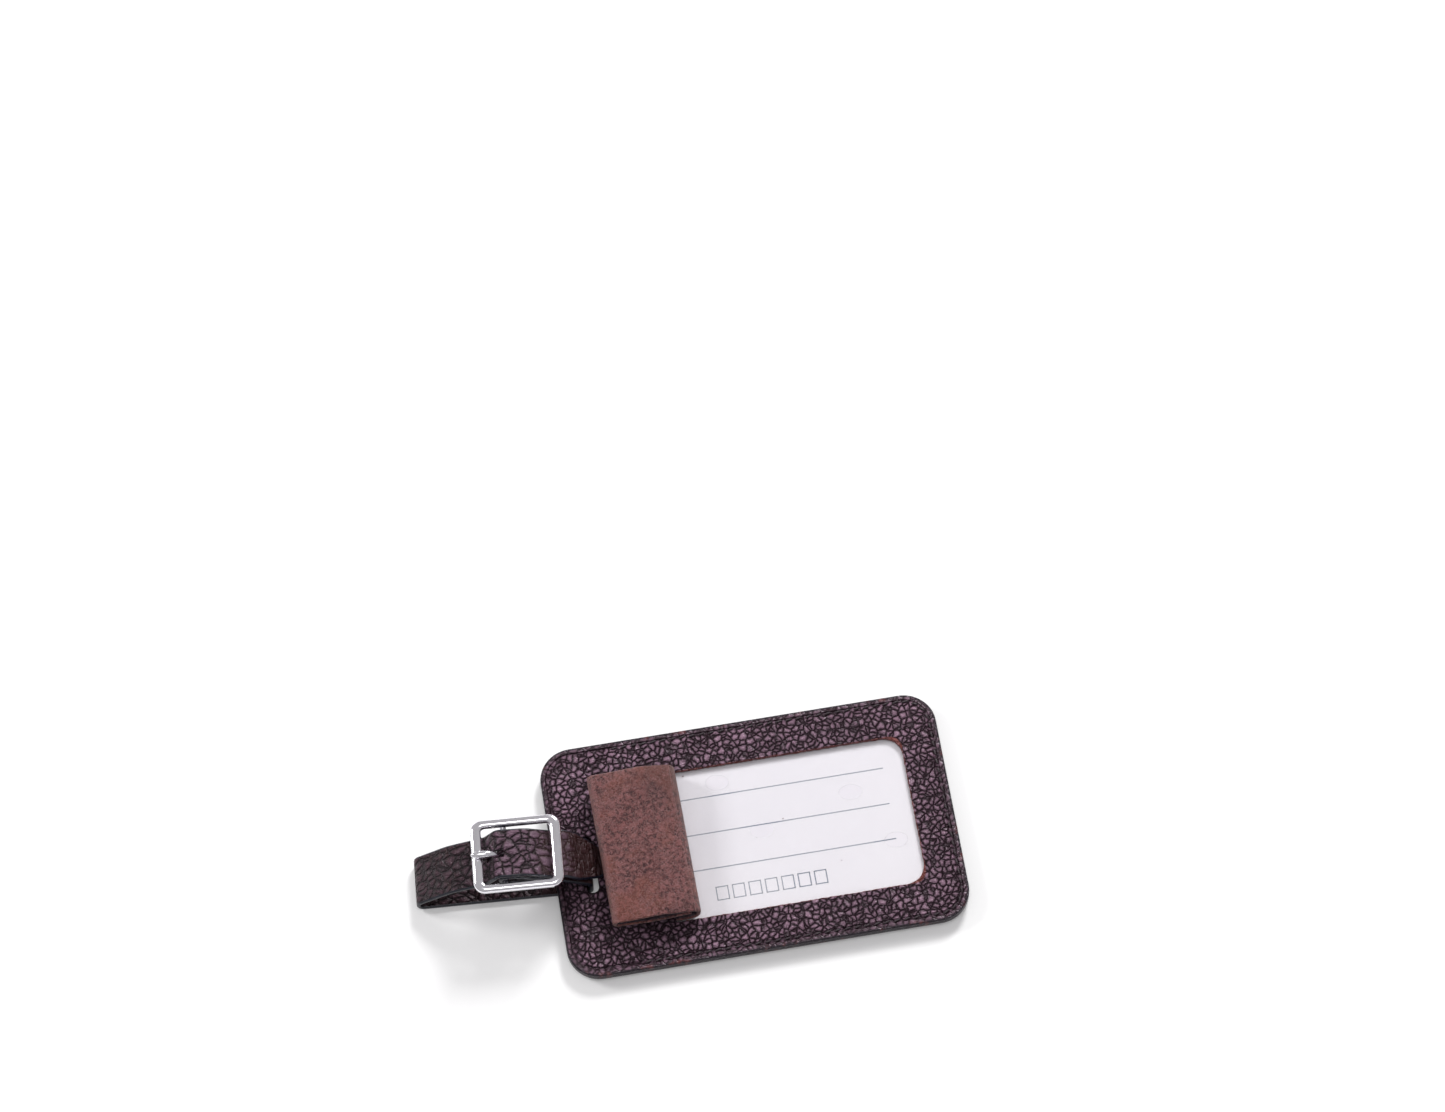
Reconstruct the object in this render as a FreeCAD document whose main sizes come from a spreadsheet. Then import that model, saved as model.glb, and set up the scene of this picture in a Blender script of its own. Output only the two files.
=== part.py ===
import FreeCAD, Part
import math
import os
import Sketcher
from FreeCAD import Placement, Rotation, Vector

# Leather luggage tag: two stitched panels with a window, a card behind clear film, a privacy flap that
# rolls back from the window's left end, and a strap that loops through the slot and a centre-bar buckle.
# X runs along the tag, away from the strap; Y across it; Z up. The shapes are drawn about the tag's
# centre and then moved by tag_centre, so that the origin is at the middle of the whole object's base.

SIZES = {
    "tag_centre": 19.14,
    "tag_length": 110.0,
    "tag_width": 67.0,
    "tag_corner": 9.0,
    "back_bottom": 1.25,
    "back_thick": 1.45,
    "recess_depth": 0.5,
    "recess_right": 48.5,
    "recess_half": 27.0,
    "front_thick": 1.1,
    "window_left": -24.4,
    "window_right": 44.2,
    "window_half": 21.6,
    "window_corner": 5.5,
    "slot_place": -45.3,
    "slot_middle": -1.2,
    "slot_wide": 3.4,
    "slot_long": 16.7,
    "card_length": 85.0,
    "card_width": 50.0,
    "card_thick": 0.22,
    "card_right": 47.5,
    "film_left": -30.0,
    "film_thick": 0.18,
    "film_width": 50.0,
    "sheet_gap": 0.03,
    "stitch_inset": 2.0,
    "stitch_start": -33.6,
    "stitch_pitch": 2.7,
    "stitch_long": 2.0,
    "thread": 0.5,
    "flap_thick": 1.1,
    "flap_width": 42.6,
    "flap_middle": 0.0,
    "flap_gap": 0.08,
    "strap_width": 13.8,
    "strap_thick": 1.2,
    "strap_yaw": -4.0,
    "hole_long": 4.6,
    "hole_wide": 2.6,
    "buckle_left": -76.3,
    "buckle_right": -51.8,
    "buckle_width": 20.9,
    "buckle_side": 3.0,
    "buckle_rail": 2.3,
    "buckle_corner": 3.0,
    "buckle_bottom": 15.6,
    "buckle_thick": 2.3,
    "buckle_round": 0.9,
    "bar_place": -67.5,
    "bar_height": 14.9,
    "bar_radius": 0.85,
    "prong_radius": 0.95,
    "prong_eye": 0.9,
}

doc = FreeCAD.newDocument("luggage_tag")
sheet = doc.addObject("Spreadsheet::Sheet", "sizes")
for row, (alias, value) in enumerate(SIZES.items(), start=1):
    sheet.set(f"A{row}", str(value))
    sheet.setAlias(f"A{row}", alias)
doc.recompute()


def size(alias):
    return float(sheet.get(alias))


BACK_TOP = size("back_bottom") + size("back_thick")
FRONT_TOP = BACK_TOP + size("front_thick")


# ---------------------------------------------------------------- flat sheets and the buckle's frame

def new_body(name):
    body = doc.addObject("PartDesign::Body", name)
    body.setExpression("Placement.Base.x", "sizes.tag_centre")
    return body


def rectangle(body, name, left, right, bottom, top, height):
    """Sketch a rectangle on the body's XY plane; every side and the height is an expression."""
    sketch = body.newObject("Sketcher::SketchObject", name)
    plane = [item for item in body.Origin.OriginFeatures if item.Role == "XY_Plane"][0]
    sketch.AttachmentSupport = [(plane, "")]
    sketch.MapMode = "FlatFace"
    corners = [Vector(-1, -1, 0), Vector(1, -1, 0), Vector(1, 1, 0), Vector(-1, 1, 0)]
    for start, end in zip(corners, corners[1:] + corners[:1]):
        sketch.addGeometry(Part.LineSegment(start, end))
    for side in range(4):
        sketch.addConstraint(Sketcher.Constraint("Coincident", side, 2, (side + 1) % 4, 1))
        sketch.addConstraint(Sketcher.Constraint("Vertical" if side % 2 else "Horizontal", side))
    for label, kind, side, point, rule in (
        ("left", "DistanceX", 0, 1, left),
        ("right", "DistanceX", 0, 2, right),
        ("bottom", "DistanceY", 0, 1, bottom),
        ("top", "DistanceY", 2, 1, top),
    ):
        start_value = -1.0 if label in ("left", "bottom") else 1.0
        index = sketch.addConstraint(Sketcher.Constraint(kind, -1, 1, side, point, start_value))
        sketch.renameConstraint(index, label)
        sketch.setExpression(f"Constraints.{label}", rule)
    sketch.setExpression("AttachmentOffset.Base.z", height)
    doc.recompute()
    return sketch


def pad(body, sketch, name, length):
    feature = body.newObject("PartDesign::Pad", name)
    feature.Profile = sketch
    feature.setExpression("Length", length)
    doc.recompute()
    return feature


def pocket(body, sketch, name, depth, upward):
    """Cut from the sketch up or down, and make sure that something is really cut."""
    before = body.Shape.Volume
    feature = body.newObject("PartDesign::Pocket", name)
    feature.Profile = sketch
    feature.Reversed = upward
    feature.setExpression("Length", depth)
    doc.recompute()
    if body.Shape.Volume > before - 0.1:
        raise RuntimeError(f"{body.Name}: {name} cuts nothing")
    return feature


def is_upright(edge):
    box = edge.BoundBox
    return box.XLength + box.YLength < 0.001 < box.ZLength


def fillet(body, feature, name, radius, wanted):
    """Round the feature's edges that the test wanted picks."""
    rounded = body.newObject("PartDesign::Fillet", name)
    edges = [f"Edge{number}" for number, edge in enumerate(feature.Shape.Edges, start=1) if wanted(edge)]
    rounded.Base = (feature, edges)
    rounded.setExpression("Radius", radius)
    doc.recompute()
    return rounded


def is_outer_corner(edge):
    return is_upright(edge) and abs(edge.CenterOfMass.x) > size("tag_length") / 2 - 1


def is_window_corner(edge):
    place = edge.CenterOfMass
    return is_upright(edge) and abs(place.x - size("window_right")) < 0.1


def is_slot_corner(edge):
    place = edge.CenterOfMass
    return is_upright(edge) and abs(place.x - size("slot_place")) < size("slot_wide")


def cut_slot(body, height, depth):
    sketch = rectangle(
        body, body.Name + "_slot_sketch",
        "sizes.slot_place - sizes.slot_wide / 2", "sizes.slot_place + sizes.slot_wide / 2",
        "sizes.slot_middle - sizes.slot_long / 2", "sizes.slot_middle + sizes.slot_long / 2", height,
    )
    slot = pocket(body, sketch, body.Name + "_slot", depth, upward=True)
    fillet(body, slot, body.Name + "_slot_ends", "sizes.slot_wide * 0.49", is_slot_corner)


def make_panel(name, height, thickness):
    body = new_body(name)
    outline = rectangle(
        body, name + "_outline", "-sizes.tag_length / 2", "sizes.tag_length / 2",
        "-sizes.tag_width / 2", "sizes.tag_width / 2", height,
    )
    plate = pad(body, outline, name + "_plate", thickness)
    fillet(body, plate, name + "_corners", "sizes.tag_corner", is_outer_corner)
    cut_slot(body, height, thickness)
    return body


def make_back_panel():
    """Back panel, with a shallow recess for card and film that is open at the left end."""
    body = make_panel("back_panel", "sizes.back_bottom", "sizes.back_thick")
    sketch = rectangle(
        body, "recess_sketch", "-sizes.tag_length / 2 - 1", "sizes.recess_right",
        "-sizes.recess_half", "sizes.recess_half",
        "sizes.back_bottom + sizes.back_thick - sizes.recess_depth",
    )
    pocket(body, sketch, "recess", "sizes.recess_depth", upward=True)
    return body


def make_front_panel():
    """Front panel, with the window that the flap was cut from."""
    height = "sizes.back_bottom + sizes.back_thick"
    body = make_panel("front_panel", height, "sizes.front_thick")
    sketch = rectangle(
        body, "window_sketch", "sizes.window_left", "sizes.window_right",
        "-sizes.window_half", "sizes.window_half", height,
    )
    window = pocket(body, sketch, "window", "sizes.front_thick", upward=True)
    fillet(body, window, "window_corners", "sizes.window_corner", is_window_corner)
    return body


def make_sheet(name, left, right, width, height, thickness):
    body = new_body(name)
    sketch = rectangle(body, name + "_outline", left, right, f"-{width} / 2", f"{width} / 2", height)
    pad(body, sketch, name + "_plate", thickness)
    return body


def make_card_and_film():
    floor = "sizes.back_bottom + sizes.back_thick - sizes.recess_depth + sizes.sheet_gap"
    card = make_sheet("id_card", "sizes.card_right - sizes.card_length", "sizes.card_right",
                      "sizes.card_width", floor, "sizes.card_thick")
    film = make_sheet("window_film", "sizes.film_left", "sizes.recess_right", "sizes.film_width",
                      "sizes.back_bottom + sizes.back_thick - sizes.film_thick", "sizes.film_thick")
    return card, film


def set_yaw(item):
    """Turn a piece of the strap's assembly about the slot's middle, in plan, and centre the tag."""
    pivot = Vector(size("slot_place"), size("slot_middle"), 0)
    turn = Rotation(Vector(0, 0, 1), size("strap_yaw"))
    item.Placement = Placement(Vector(size("tag_centre"), 0, 0), Rotation()).multiply(
        Placement(Vector(), turn, pivot))


def make_buckle_frame():
    body = doc.addObject("PartDesign::Body", "buckle_frame")
    outline = rectangle(
        body, "frame_outline", "sizes.buckle_left", "sizes.buckle_right",
        "sizes.slot_middle - sizes.buckle_width / 2", "sizes.slot_middle + sizes.buckle_width / 2",
        "sizes.buckle_bottom",
    )
    plate = pad(body, outline, "frame_plate", "sizes.buckle_thick")
    fillet(body, plate, "frame_corners", "sizes.buckle_corner", is_upright)
    opening = rectangle(
        body, "frame_opening_sketch", "sizes.buckle_left + sizes.buckle_side",
        "sizes.buckle_right - sizes.buckle_side",
        "sizes.slot_middle - sizes.buckle_width / 2 + sizes.buckle_rail",
        "sizes.slot_middle + sizes.buckle_width / 2 - sizes.buckle_rail", "sizes.buckle_bottom",
    )
    hole = pocket(body, opening, "frame_opening", "sizes.buckle_thick", upward=True)
    top = size("buckle_bottom") + size("buckle_thick")
    fillet(body, hole, "frame_edges", "sizes.buckle_round",
           lambda edge: abs(edge.BoundBox.ZMin - top) < 0.001)
    set_yaw(body)
    return body


# ---------------------------------------------------------------- bent leather

def offset_corners(points, distance):
    """Move a polyline sideways: its corners meet where the moved runs cross."""
    directions = [(end - start).normalize() for start, end in zip(points, points[1:])]
    moved = []
    for index, point in enumerate(points):
        before = directions[max(index - 1, 0)]
        after = directions[min(index, len(directions) - 1)]
        normal_before = Vector(-before.z, 0, before.x)
        normal_after = Vector(-after.z, 0, after.x)
        mitre = (normal_before + normal_after) / (1 + normal_before.dot(normal_after))
        moved.append(point + mitre * distance)
    return moved


def rounded_runs(points, radii):
    """Straight runs joined by tangent arcs: one radius for each inner corner."""
    edges = []
    start = points[0]
    for before, corner, after, radius in zip(points, points[1:], points[2:], radii):
        into = (corner - before).normalize()
        out = (after - corner).normalize()
        turn = into.getAngle(out)
        reach = radius * math.tan(turn / 2)
        arc_start = corner - into * reach
        arc_end = corner + out * reach
        middle = corner + (out - into).normalize() * radius * (1 / math.cos(turn / 2) - 1)
        if (arc_start - start).Length > 1e-6:
            edges.append(Part.LineSegment(start, arc_start).toShape())
        edges.append(Part.Arc(arc_start, middle, arc_end).toShape())
        start = arc_end
    edges.append(Part.LineSegment(start, points[-1]).toShape())
    return edges


def turn_signs(points):
    """+1 for a corner that turns towards the left-hand side of the run in XZ, -1 for the other."""
    signs = []
    for before, corner, after in zip(points, points[1:], points[2:]):
        into = corner - before
        out = after - corner
        signs.append(math.copysign(1, into.x * out.z - into.z * out.x))
    return signs


def bent_strip(route, thickness, width, middle):
    """Extrude a strip of even thickness along Y. route lists (x, z, radius) of the middle line."""
    points = [Vector(x, 0, z) for x, z, radius in route]
    radii = [radius for x, z, radius in route[1:-1]]
    signs = turn_signs(points)
    sides = []
    for distance in (thickness / 2, -thickness / 2):
        side_radii = [radius - sign * distance for radius, sign in zip(radii, signs)]
        corners = offset_corners(points, distance)
        sides.append((corners, rounded_runs(corners, side_radii)))
    (first_corners, first_edges), (second_corners, second_edges) = sides
    caps = [
        Part.LineSegment(first_corners[0], second_corners[0]).toShape(),
        Part.LineSegment(first_corners[-1], second_corners[-1]).toShape(),
    ]
    loop = Part.Wire(Part.__sortEdges__(first_edges + second_edges + caps))
    face = Part.Face(loop)
    face.translate(Vector(0, middle - width / 2, 0))
    return face.extrude(Vector(0, width, 0))


def add_feature(name, shape):
    feature = doc.addObject("Part::Feature", name)
    feature.Shape = shape
    feature.Placement = Placement(Vector(size("tag_centre"), 0, 0), Rotation())
    return feature


# The flap's middle line: out of the window's left end, round to the right limb, back over the top,
# down the left limb and in under the roll. The flap bends at its pivot when it swings over the window.
FLAP_PIVOT_X = -18.4
FLAP_PIVOT_Z = 6.6


def make_flap():
    thick = size("flap_thick")
    half_gap = size("flap_gap") / 2
    in_plane = BACK_TOP + thick / 2
    root = [
        (size("window_left") + 0.02, in_plane, 0),
        (FLAP_PIVOT_X - 0.3, in_plane + 0.5, 2.2),
        (FLAP_PIVOT_X, FLAP_PIVOT_Z - half_gap, 0),
    ]
    roll = [
        (FLAP_PIVOT_X, FLAP_PIVOT_Z + half_gap, 0),
        (FLAP_PIVOT_X + 0.1, 9.4, 2.2),
        (-28.0, 11.2, 14.0),
        (-41.6, 10.2, 1.5),
        (-41.2, 7.0, 1.2),
        (-29.0, 6.5, 20.0),
        (-20.6, 7.9, 0),
    ]
    pieces = []
    for name, route in (("flap_root", root), ("privacy_flap", roll)):
        strip = bent_strip(route, thick, size("flap_width"), size("flap_middle"))
        pieces.append(add_feature(name, strip))
    return pieces


# The strap's middle line, from its turned-back end: round the buckle's bar, down through the slot,
# left along the floor, up round the loop, over the bar again and on to the tapered tip.
FLOOR_RUN = 0.6
TIP_END = -38.4
TIP_HALF = 2.4


def strap_route():
    bar_x = size("bar_place")
    bar_z = size("bar_height")
    fold = size("bar_radius") + 0.08 + size("strap_thick") / 2
    slot_x = size("slot_place")
    return [
        (-60.2, 12.5, 0),
        (bar_x - fold, bar_z - fold, fold),
        (bar_x - fold, bar_z + fold, fold),
        (-65.6, bar_z + fold, 3.0),
        (-54.8, 12.3, 3.0),
        (slot_x, 5.5, 1.5),
        (slot_x, FLOOR_RUN, 1.0),
        (-92.2, FLOOR_RUN, 1.5),
        (-92.4, 3.6, 2.4),
        (-83.0, 10.0, 14.0),
        (-72.7, 13.6, 3.0),
        (-69.2, 18.1, 2.2),
        (-61.6, 17.5, 5.0),
        (-55.3, 14.3, 3.0),
        (-51.6, 14.0, 4.0),
        (-43.2, 5.2, 2.5),
        (TIP_END, 4.5, 0),
    ]


def make_strap():
    """One strip, cut in two at the start of its taper, because only the tip is narrowed in plan."""
    thick = size("strap_thick")
    width = size("strap_width")
    middle = size("slot_middle")
    half = width / 2
    route = strap_route()
    (bend_x, bend_z, _), (dip_x, dip_z, _) = route[-3:-1]
    join = (bend_x + (dip_x - bend_x) * 0.3, bend_z + (dip_z - bend_z) * 0.3, 0)
    body_part = bent_strip(route[:-2] + [join], thick, width, middle)
    tip_part = bent_strip([join] + route[-2:], thick, width, middle)
    taper = Part.Face(Part.makePolygon([
        Vector(join[0] - 1, middle - half, 0),
        Vector(join[0], middle - half, 0),
        Vector(TIP_END, middle - TIP_HALF, 0),
        Vector(TIP_END, middle + TIP_HALF, 0),
        Vector(join[0], middle + half, 0),
        Vector(join[0] - 1, middle + half, 0),
        Vector(join[0] - 1, middle - half, 0),
    ])).extrude(Vector(0, 0, 20))
    strap = body_part.fuse(tip_part.common(taper)).removeSplitter()
    hole_wide = size("hole_wide")
    side = middle - hole_wide / 2
    bar_x = size("bar_place")
    bar_z = size("bar_height")
    fold_slit = Part.makeBox(5.2, hole_wide, 4.7, Vector(bar_x - 2.6, side, bar_z - 2.6))
    prong_hole = Part.makeBox(size("hole_long"), hole_wide, 4.6, Vector(bar_x - 5.0, side, 14.6))
    strap = strap.cut(fold_slit).cut(prong_hole)
    feature = doc.addObject("Part::Feature", "strap")
    feature.Shape = strap.Solids[0] if len(strap.Solids) == 1 else strap
    set_yaw(feature)
    return feature


# ---------------------------------------------------------------- buckle's bar and prong

PRONG_BEND = (-71.6, 18.9)
PRONG_TIP = (-75.4, 18.9)
PRONG_ROOT = (-68.5, 15.9)


def make_bar():
    """Centre bar, as a cylinder whose ends run into the frame's rails."""
    bar = doc.addObject("Part::Cylinder", "buckle_bar")
    bar.setExpression("Radius", "sizes.bar_radius")
    bar.setExpression("Height", "sizes.buckle_width - sizes.buckle_rail")
    doc.recompute()
    lying = Placement(
        Vector(size("bar_place"), size("slot_middle") + bar.Height.Value / 2, size("bar_height")),
        Rotation(Vector(1, 0, 0), 90))
    set_yaw(bar)
    bar.Placement = bar.Placement.multiply(lying)
    return bar


def make_prong():
    """Prong: an eye round the bar and a round shank that bends over the frame's left side."""
    middle = size("slot_middle")
    radius = size("prong_radius")
    width = 2 * radius
    axis_point = Vector(size("bar_place"), middle - width / 2, size("bar_height"))
    along = Vector(0, 1, 0)
    eye = Part.makeCylinder(size("prong_eye") + 0.75, width, axis_point, along)
    bore = Part.makeCylinder(size("prong_eye"), width, axis_point, along)
    knots = [Vector(x, middle, z) for x, z in (PRONG_ROOT, PRONG_BEND, PRONG_TIP)]
    shape = eye
    for start, end in zip(knots, knots[1:]):
        shape = shape.fuse(Part.makeCylinder(radius, (end - start).Length, start, end - start))
        shape = shape.fuse(Part.makeSphere(radius, end))
    feature = doc.addObject("Part::Feature", "buckle_prong")
    feature.Shape = shape.cut(bore)
    set_yaw(feature)
    return feature


# ---------------------------------------------------------------- thread

def seam_places():
    """Yield the middle and heading of each stitch: along one side, round the right end and back."""
    inset = size("stitch_inset")
    half_width = size("tag_width") / 2 - inset
    end_x = size("tag_length") / 2 - inset
    radius = size("tag_corner") - inset
    side = end_x - radius - size("stitch_start")
    quarter = radius * math.pi / 2
    end = 2 * (half_width - radius)
    total = 2 * side + 2 * quarter + end
    count = int(total // size("stitch_pitch"))
    for number in range(count + 1):
        travel = total * number / count
        mirrored = travel > total / 2
        left = total - travel if mirrored else travel
        if left < side:
            x, y, heading = size("stitch_start") + left, half_width, 0.0
        elif left < side + quarter:
            heading = -(left - side) / radius
            x = end_x - radius - radius * math.sin(heading)
            y = half_width - radius + radius * math.cos(heading)
        else:
            x, y, heading = end_x, half_width - radius - (left - side - quarter), -math.pi / 2
        yield (x, -y, -heading) if mirrored else (x, y, heading)


def make_seam(name, bottom):
    long = size("stitch_long")
    thread = size("thread")
    stitches = []
    for x, y, heading in seam_places():
        stitch = Part.makeBox(long, thread, thread / 2, Vector(-long / 2, -thread / 2, 0))
        stitch.rotate(Vector(), Vector(0, 0, 1), math.degrees(heading))
        stitch.translate(Vector(x, y, bottom))
        stitches.append(stitch)
    return add_feature(name, Part.makeCompound(stitches))


def make_strap_stitches():
    """Row of stitches that holds the strap's turned-back end, under its lower layer."""
    long = size("stitch_long")
    thread = size("thread")
    stitches = []
    for step in (-1.5, -0.5, 0.5, 1.5):
        middle = size("slot_middle") + step * size("stitch_pitch")
        corner = Vector(-62.0, middle - long / 2, 11.75)
        stitches.append(Part.makeBox(thread, long, thread / 2, corner))
    feature = doc.addObject("Part::Feature", "strap_stitches")
    feature.Shape = Part.makeCompound(stitches)
    set_yaw(feature)
    return feature


pieces = [
    make_back_panel(),
    make_front_panel(),
    *make_card_and_film(),
    make_seam("front_stitches", FRONT_TOP),
    make_seam("back_stitches", size("back_bottom") - size("thread") / 2),
    *make_flap(),
    make_strap(),
    make_strap_stitches(),
    make_buckle_frame(),
    make_bar(),
    make_prong(),
]
doc.recompute()

for item in doc.Objects:
    if "Invalid" in item.State or "Error" in item.State:
        raise RuntimeError(f"{item.Name} failed: {item.State}")

os.makedirs("parts", exist_ok=True)
for piece in pieces:
    if piece.Shape.isNull() or not piece.Shape.isValid():
        raise RuntimeError(f"{piece.Label} has no valid shape")
    piece.Shape.exportStep(f"parts/{piece.Label}.step")
    box = piece.Shape.BoundBox
    print(f"{piece.Label:16s} solids {len(piece.Shape.Solids):3d} volume {piece.Shape.Volume:9.2f}",
          f"x {box.XMin:7.2f} {box.XMax:7.2f} y {box.YMin:7.2f} {box.YMax:7.2f}",
          f"z {box.ZMin:6.2f} {box.ZMax:6.2f}")
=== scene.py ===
import math
import random

import bmesh
import bpy
from mathutils import Matrix, Vector


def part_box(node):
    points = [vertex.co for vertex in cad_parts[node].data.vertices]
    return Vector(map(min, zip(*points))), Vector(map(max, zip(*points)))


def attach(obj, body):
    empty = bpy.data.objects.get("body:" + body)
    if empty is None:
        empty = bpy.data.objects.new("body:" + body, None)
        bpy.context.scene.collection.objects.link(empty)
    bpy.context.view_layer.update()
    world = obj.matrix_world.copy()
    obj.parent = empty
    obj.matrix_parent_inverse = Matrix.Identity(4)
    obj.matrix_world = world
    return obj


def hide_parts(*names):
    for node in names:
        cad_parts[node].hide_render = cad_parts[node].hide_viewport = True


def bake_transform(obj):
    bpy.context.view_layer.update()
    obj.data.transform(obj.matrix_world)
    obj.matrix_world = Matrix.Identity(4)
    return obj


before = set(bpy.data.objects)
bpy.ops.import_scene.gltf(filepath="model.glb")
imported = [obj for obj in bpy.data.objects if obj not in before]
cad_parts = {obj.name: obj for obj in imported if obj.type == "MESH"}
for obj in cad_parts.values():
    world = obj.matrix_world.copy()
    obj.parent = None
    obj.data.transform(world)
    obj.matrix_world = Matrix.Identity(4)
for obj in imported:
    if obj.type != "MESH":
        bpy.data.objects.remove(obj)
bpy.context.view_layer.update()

MM = 0.001
random.seed(11)


def node_box(name):
    """A CAD node's box in millimetres."""
    low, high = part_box(name)
    return low / MM, high / MM


PANEL_LOW, PANEL_HIGH = node_box("front_panel")
BACK_LOW, BACK_HIGH = node_box("back_panel")
TAG_X = (PANEL_LOW.x + PANEL_HIGH.x) / 2
TAG_LENGTH = PANEL_HIGH.x - PANEL_LOW.x
TAG_WIDTH = PANEL_HIGH.y - PANEL_LOW.y
TAG_CORNER = 9.0
PANEL_ROUND, BACK_ROUND, RIM_ROUND = 0.32, 0.3, 0.25
RECESS_FLOOR = BACK_HIGH.z - 0.5
RECESS_RIGHT, RECESS_HALF = 48.5, 27.0
WINDOW_LEFT, WINDOW_RIGHT, WINDOW_HALF, WINDOW_CORNER = -24.4, 44.2, 21.6, 5.5
SLOT_X, SLOT_Y, SLOT_WIDE, SLOT_LONG = -45.3, -1.2, 3.4, 16.7
STRAP_YAW = math.radians(-4)
YAW_MATRIX = (Matrix.Translation((TAG_X, 0, 0)) @ Matrix.Translation((SLOT_X, SLOT_Y, 0))
              @ Matrix.Rotation(STRAP_YAW, 4, "Z") @ Matrix.Translation((-SLOT_X, -SLOT_Y, 0)))


# ---------------------------------------------------------------- node helpers

class Nodes:
    """Short calls for building one material."""

    def __init__(self, name):
        self.material = bpy.data.materials.new(name)
        self.material.use_nodes = True
        self.tree = self.material.node_tree
        self.tree.nodes.clear()
        self.output = self.add("ShaderNodeOutputMaterial")
        self.place = self.add("ShaderNodeTexCoord").outputs["Object"]

    def add(self, kind, inputs=None, **settings):
        node = self.tree.nodes.new(kind)
        for key, value in settings.items():
            setattr(node, key, value)
        for key, value in (inputs or {}).items():
            self.feed(node.inputs[key], value)
        return node

    def feed(self, socket, value):
        if isinstance(value, bpy.types.NodeSocket):
            self.tree.links.new(value, socket)
        else:
            socket.default_value = value

    def math(self, operation, *values):
        node = self.add("ShaderNodeMath", operation=operation)
        for socket, value in zip(node.inputs, values):
            self.feed(socket, value)
        return node.outputs[0]

    def noise(self, scale, detail=4.0, roughness=0.55, place=None, distortion=0.0):
        node = self.add("ShaderNodeTexNoise", {
            "Vector": place or self.place, "Scale": scale, "Detail": detail,
            "Roughness": roughness, "Distortion": distortion})
        return node.outputs["Fac"]

    def step(self, value, low, high, to_low=0.0, to_high=1.0):
        node = self.add("ShaderNodeMapRange", interpolation_type="SMOOTHSTEP", clamp=True)
        for socket, item in zip(node.inputs, (value, low, high, to_low, to_high)):
            self.feed(socket, item)
        return node.outputs[0]

    def mix(self, factor, first, second):
        node = self.add("ShaderNodeMix", data_type="RGBA")
        self.feed(node.inputs[0], factor)
        self.feed(node.inputs[6], first)
        self.feed(node.inputs[7], second)
        return node.outputs[2]

    def bump(self, height, distance, strength=1.0, normal=None):
        node = self.add("ShaderNodeBump", {"Height": height, "Distance": distance, "Strength": strength})
        if normal:
            self.feed(node.inputs["Normal"], normal)
        return node.outputs["Normal"]

    def split(self):
        node = self.add("ShaderNodeSeparateXYZ", {0: self.place})
        return node.outputs

    def finish(self, **inputs):
        shader = self.add("ShaderNodeBsdfPrincipled", {
            key.replace("_", " "): value for key, value in inputs.items()})
        self.tree.links.new(shader.outputs[0], self.output.inputs[0])
        return self.material

    def box_distance(self, centre, half, corner):
        """Signed distance in mm from a rounded rectangle in plan: below 0 inside it."""
        x, y, _ = self.split()
        reach = []
        for value, middle, extent in ((x, centre[0], half[0]), (y, centre[1], half[1])):
            away = self.math("ABSOLUTE", self.math("SUBTRACT", self.math("MULTIPLY", value, 1000), middle))
            reach.append(self.math("SUBTRACT", away, extent - corner))
        outside = [self.math("MAXIMUM", value, 0.0) for value in reach]
        length = self.math("SQRT", self.math("ADD", self.math("POWER", outside[0], 2.0),
                                             self.math("POWER", outside[1], 2.0)))
        inside = self.math("MINIMUM", self.math("MAXIMUM", reach[0], reach[1]), 0.0)
        return self.math("SUBTRACT", self.math("ADD", length, inside), corner)


def colour(red, green, blue):
    """Linear colour from 0-255 display values."""
    return tuple((value / 255) ** 2.2 for value in (red, green, blue)) + (1.0,)


# ---------------------------------------------------------------- materials

def pebbles(nodes, cell, stretch=(1, 1, 1)):
    """Leather grain: irregular rounded pebbles with narrow valleys. Returns heights from 0 to 1."""
    warp = nodes.add("ShaderNodeTexNoise", {"Vector": nodes.place, "Scale": 0.35 / cell, "Detail": 3.0})
    offset = nodes.add("ShaderNodeVectorMath", {0: warp.outputs["Color"], 1: (0.5, 0.5, 0.5)},
                       operation="SUBTRACT")
    scaled = nodes.add("ShaderNodeVectorMath", {0: offset.outputs[0], "Scale": cell * 1.5},
                       operation="SCALE")
    moved = nodes.add("ShaderNodeVectorMath", {0: nodes.place, 1: scaled.outputs[0]}, operation="ADD")
    squeezed = nodes.add("ShaderNodeVectorMath", {0: moved.outputs[0], 1: stretch}, operation="MULTIPLY")
    cells = nodes.add("ShaderNodeTexVoronoi", {"Vector": squeezed.outputs[0], "Scale": 1 / cell},
                      feature="DISTANCE_TO_EDGE")
    rounded = nodes.math("MINIMUM", nodes.math("MULTIPLY", cells.outputs["Distance"], 2.4), 1.0)
    large = nodes.math("SQRT", rounded)
    fine = nodes.add("ShaderNodeTexVoronoi", {"Vector": squeezed.outputs[0], "Scale": 2.3 / cell},
                     feature="DISTANCE_TO_EDGE")
    small = nodes.step(fine.outputs["Distance"], 0.0, 0.3)
    return nodes.math("ADD", nodes.math("MULTIPLY", large, 0.86), nodes.math("MULTIPLY", small, 0.14))


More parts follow.
